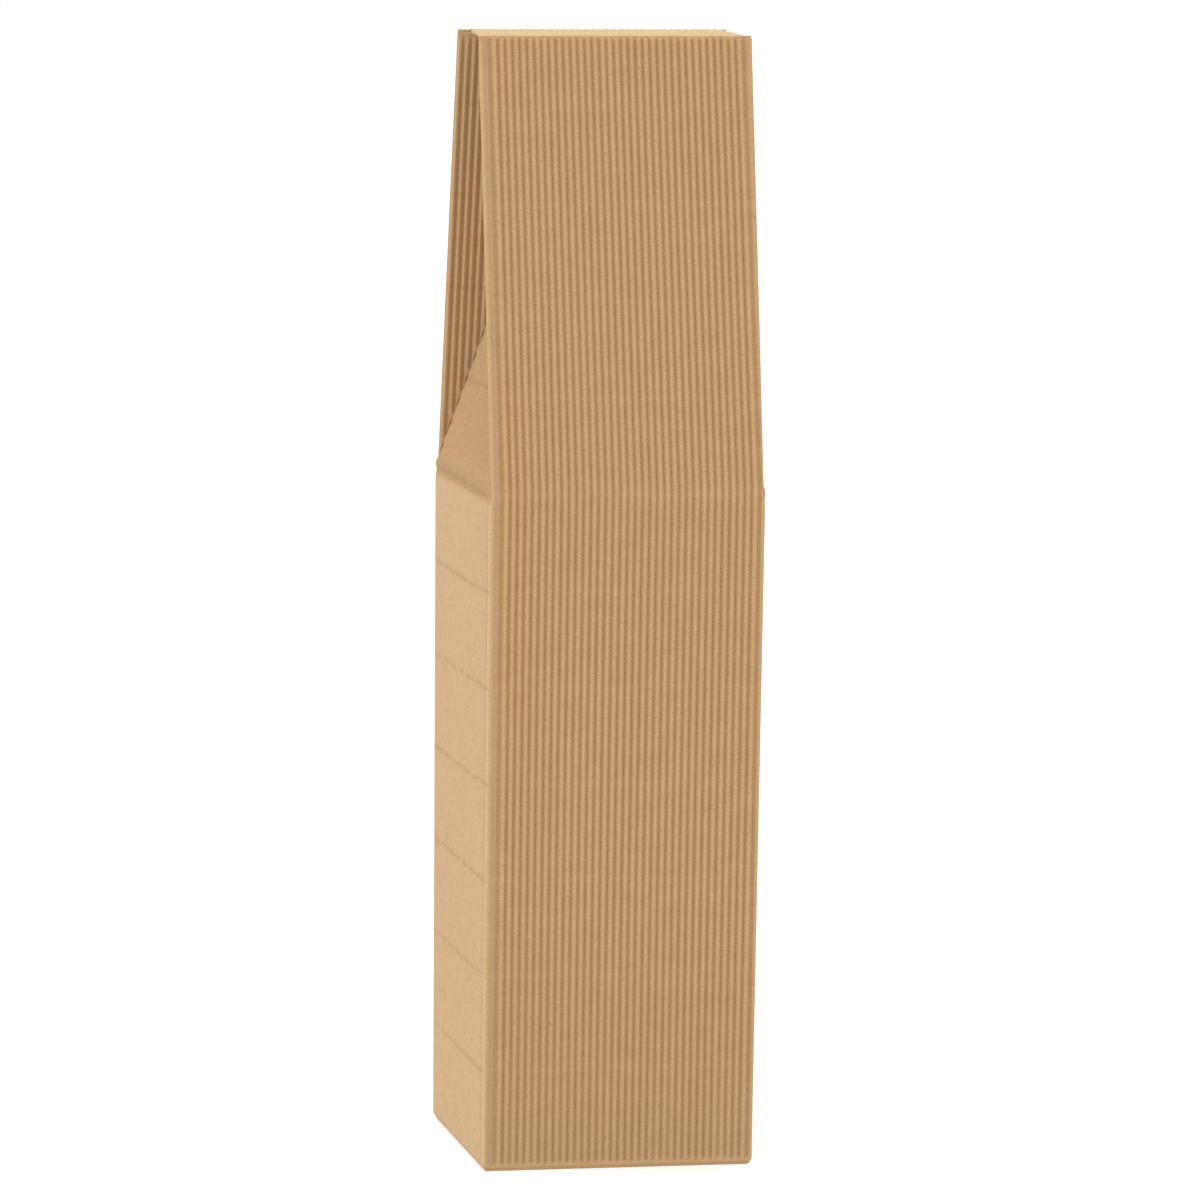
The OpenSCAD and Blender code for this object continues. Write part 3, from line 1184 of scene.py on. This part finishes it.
class Finishes:
    """The materials of the box."""

    def __init__(self) -> None:
        """Makes every material once."""
        fibres, fingers = fibre_group(), finger_group()
        even = {"painted_light_share": 0.0, "painted_shade_share": 0.0}
        # The third colour of each finish is painted shade for the flute valleys, the fourth a painted
        # highlight for the folds.
        outer = KraftFinish(srgb(202, 166, 121), srgb(187, 149, 104), srgb(145, 106, 66), srgb(206, 172, 128))
        inner = KraftFinish(
            srgb(212, 180, 138), srgb(197, 163, 119), srgb(165, 128, 86), srgb(218, 188, 146),
            valley_shade_share=0.0, line_share=0.1, **even,
        )
        # Painted light: the flap is a paler copy of the outside paper, for the top that faces the lamp above.
        flap = KraftFinish(
            srgb(222, 194, 152), srgb(208, 176, 132), srgb(176, 140, 98), srgb(228, 202, 162),
            valley_shade_share=0.15, line_share=0.0, **even,
        )
        edge = KraftFinish(
            srgb(214, 184, 140), srgb(190, 154, 108), srgb(160, 122, 80), srgb(220, 190, 148),
            valley_shade_share=0.0, line_share=0.0, fleck_share=0.6, **even,
        )
        self.outer = outer.material("kraft_outside", fibres, fingers)
        self.inner = inner.material("kraft_inside", fibres, fingers)
        self.flap = flap.material("kraft_flap_painted_light", fibres, fingers, below=outer)
        self.edge = edge.material("kraft_cut_edge", fibres, fingers)


@dataclass
class Carton:
    """The folded box below the top flap."""

    blank: Blank
    board: Board

    def build(self, finishes: Finishes) -> list[bpy.types.Object]:
        """Makes both papers of the box and puts them on the carton's body."""
        wavy = SheetPiece(self.blank, self.board, Layer.WAVY).build("wavy_sheet")
        plain = SheetPiece(self.blank, self.board, Layer.PLAIN).build("plain_sheet")
        for piece, material in ((wavy, finishes.outer), (plain, finishes.inner)):
            piece.data.materials.append(material)
            piece.data.materials.append(finishes.edge)
            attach(piece, "carton")
        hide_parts("carton")
        return [wavy, plain]


@dataclass
class TopFlap:
    """The flap that closes the top, with its tongue and the crease that it turns on."""

    blank: Blank
    board: Board

    def build(self, finishes: Finishes) -> list[bpy.types.Object]:
        """Makes both papers of the flap and bends them between the carton and the flap."""
        wavy = SheetPiece(self.blank, self.board, Layer.WAVY, flap=True).build("flap_wavy_sheet")
        plain = SheetPiece(self.blank, self.board, Layer.PLAIN, flap=True).build("flap_plain_sheet")
        for piece, material in ((wavy, finishes.flap), (plain, finishes.inner)):
            piece.data.materials.append(material)
            piece.data.materials.append(finishes.edge)
            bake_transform(piece)
        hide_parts("top_flap")
        return [wavy, plain]


@dataclass
class Studio:
    """Floor, light and camera."""

    focal_px: float = 7741.9
    photo_px: float = 1200.0
    sensor: float = 36.0
    place: Triple = (-0.4943, -2.4523, 0.5035)
    yaw: float = 11.4177
    pitch: float = 7.3815
    roll: float = 0.7059
    lamp_size: float = 1.0
    aim: Triple = (0.0, 0.0, 0.2)
    floor_half: float = 6.0
    floor_grey: float = 0.35
    floor_glow: float = 0.7

    def floor(self) -> bpy.types.Object:
        """Makes the pale floor, which glows a little so that it is as white as in the photograph."""
        bm = bmesh.new()
        bmesh.ops.create_grid(bm, x_segments=8, y_segments=8, size=self.floor_half)
        mesh = bpy.data.meshes.new("floor")
        bm.to_mesh(mesh)
        bm.free()
        material, shader = new_material("pale_floor")
        shader.inputs["Base Color"].default_value = (*[self.floor_grey] * 3, 1.0)
        shader.inputs["Emission Color"].default_value = WHITE
        shader.inputs["Emission Strength"].default_value = self.floor_glow
        shader.inputs["Roughness"].default_value = 0.9
        mesh.materials.append(material)
        floor = add_object("floor", mesh)
        return floor

    def lamp(self, name: str, place: Triple, power: float) -> None:
        """Adds a soft square light that faces the box.

        Args:
            name: The light's name.
            place: Where it stands, in metres.
            power: Its power, in watts.
        """
        light = bpy.data.lights.new(name, "AREA")
        light.shape = "SQUARE"
        light.size = self.lamp_size
        light.energy = power
        lamp = add_object(name, light)
        lamp.location = place
        away = Vector(self.aim) - Vector(place)
        lamp.rotation_euler = away.to_track_quat("-Z", "Y").to_euler()

    def light(self) -> None:
        """Lights the box softly from the left and from above, in a pale room."""
        world = bpy.data.worlds.new("pale_room")
        world.use_nodes = True
        background = world.node_tree.nodes["Background"]
        background.inputs["Color"].default_value = WHITE
        background.inputs["Strength"].default_value = 1.0
        bpy.context.scene.world = world
        bpy.context.scene.view_settings.view_transform = "Standard"
        self.lamp("key", (-2.2, -0.5, 0.35), 8.5)
        self.lamp("top", (-0.2, 0.1, 2.2), 9.0)

    def camera(self) -> None:
        """Places the camera as in the photograph."""
        yaw, pitch, roll = (math.radians(a) for a in (self.yaw, self.pitch, self.roll))
        ahead = Vector((math.sin(yaw) * math.cos(pitch), math.cos(yaw) * math.cos(pitch), -math.sin(pitch)))
        right = Vector((math.cos(yaw), -math.sin(yaw), 0.0))
        above = right.cross(ahead)
        right_rolled = math.cos(roll) * right + math.sin(roll) * above
        above_rolled = -math.sin(roll) * right + math.cos(roll) * above
        lens = bpy.data.cameras.new("camera")
        lens.sensor_width = self.sensor
        lens.lens = self.focal_px / self.photo_px * self.sensor
        lens.clip_end = 30.0
        camera = add_object("camera", lens)
        turn = Matrix((right_rolled, above_rolled, -ahead)).transposed().to_4x4()
        camera.matrix_world = Matrix.Translation(self.place) @ turn
        bpy.context.scene.camera = camera


def main() -> None:
    """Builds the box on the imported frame."""
    logging.basicConfig(level=logging.INFO, format="%(message)s")
    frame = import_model()
    board = Board()
    low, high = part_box("carton")
    hinge = next(j for j in frame["joints"] if j["name"] == "flap_hinge")
    blank = Blank(
        half_w=(high.x - low.x) / 2.0 / MM - board.crest,
        half_d=(high.y - low.y) / 2.0 / MM - board.crest,
        top_half=-hinge["pos_m"][1] / MM,
        gable_top=hinge["pos_m"][2] / MM,
    )
    finishes = Finishes()
    pieces = Carton(blank, board).build(finishes) + TopFlap(blank, board).build(finishes)
    studio = Studio()
    studio.floor()
    studio.light()
    studio.camera()
    log.info("%d pieces", len(pieces))


if __name__ == "__main__":
    main()
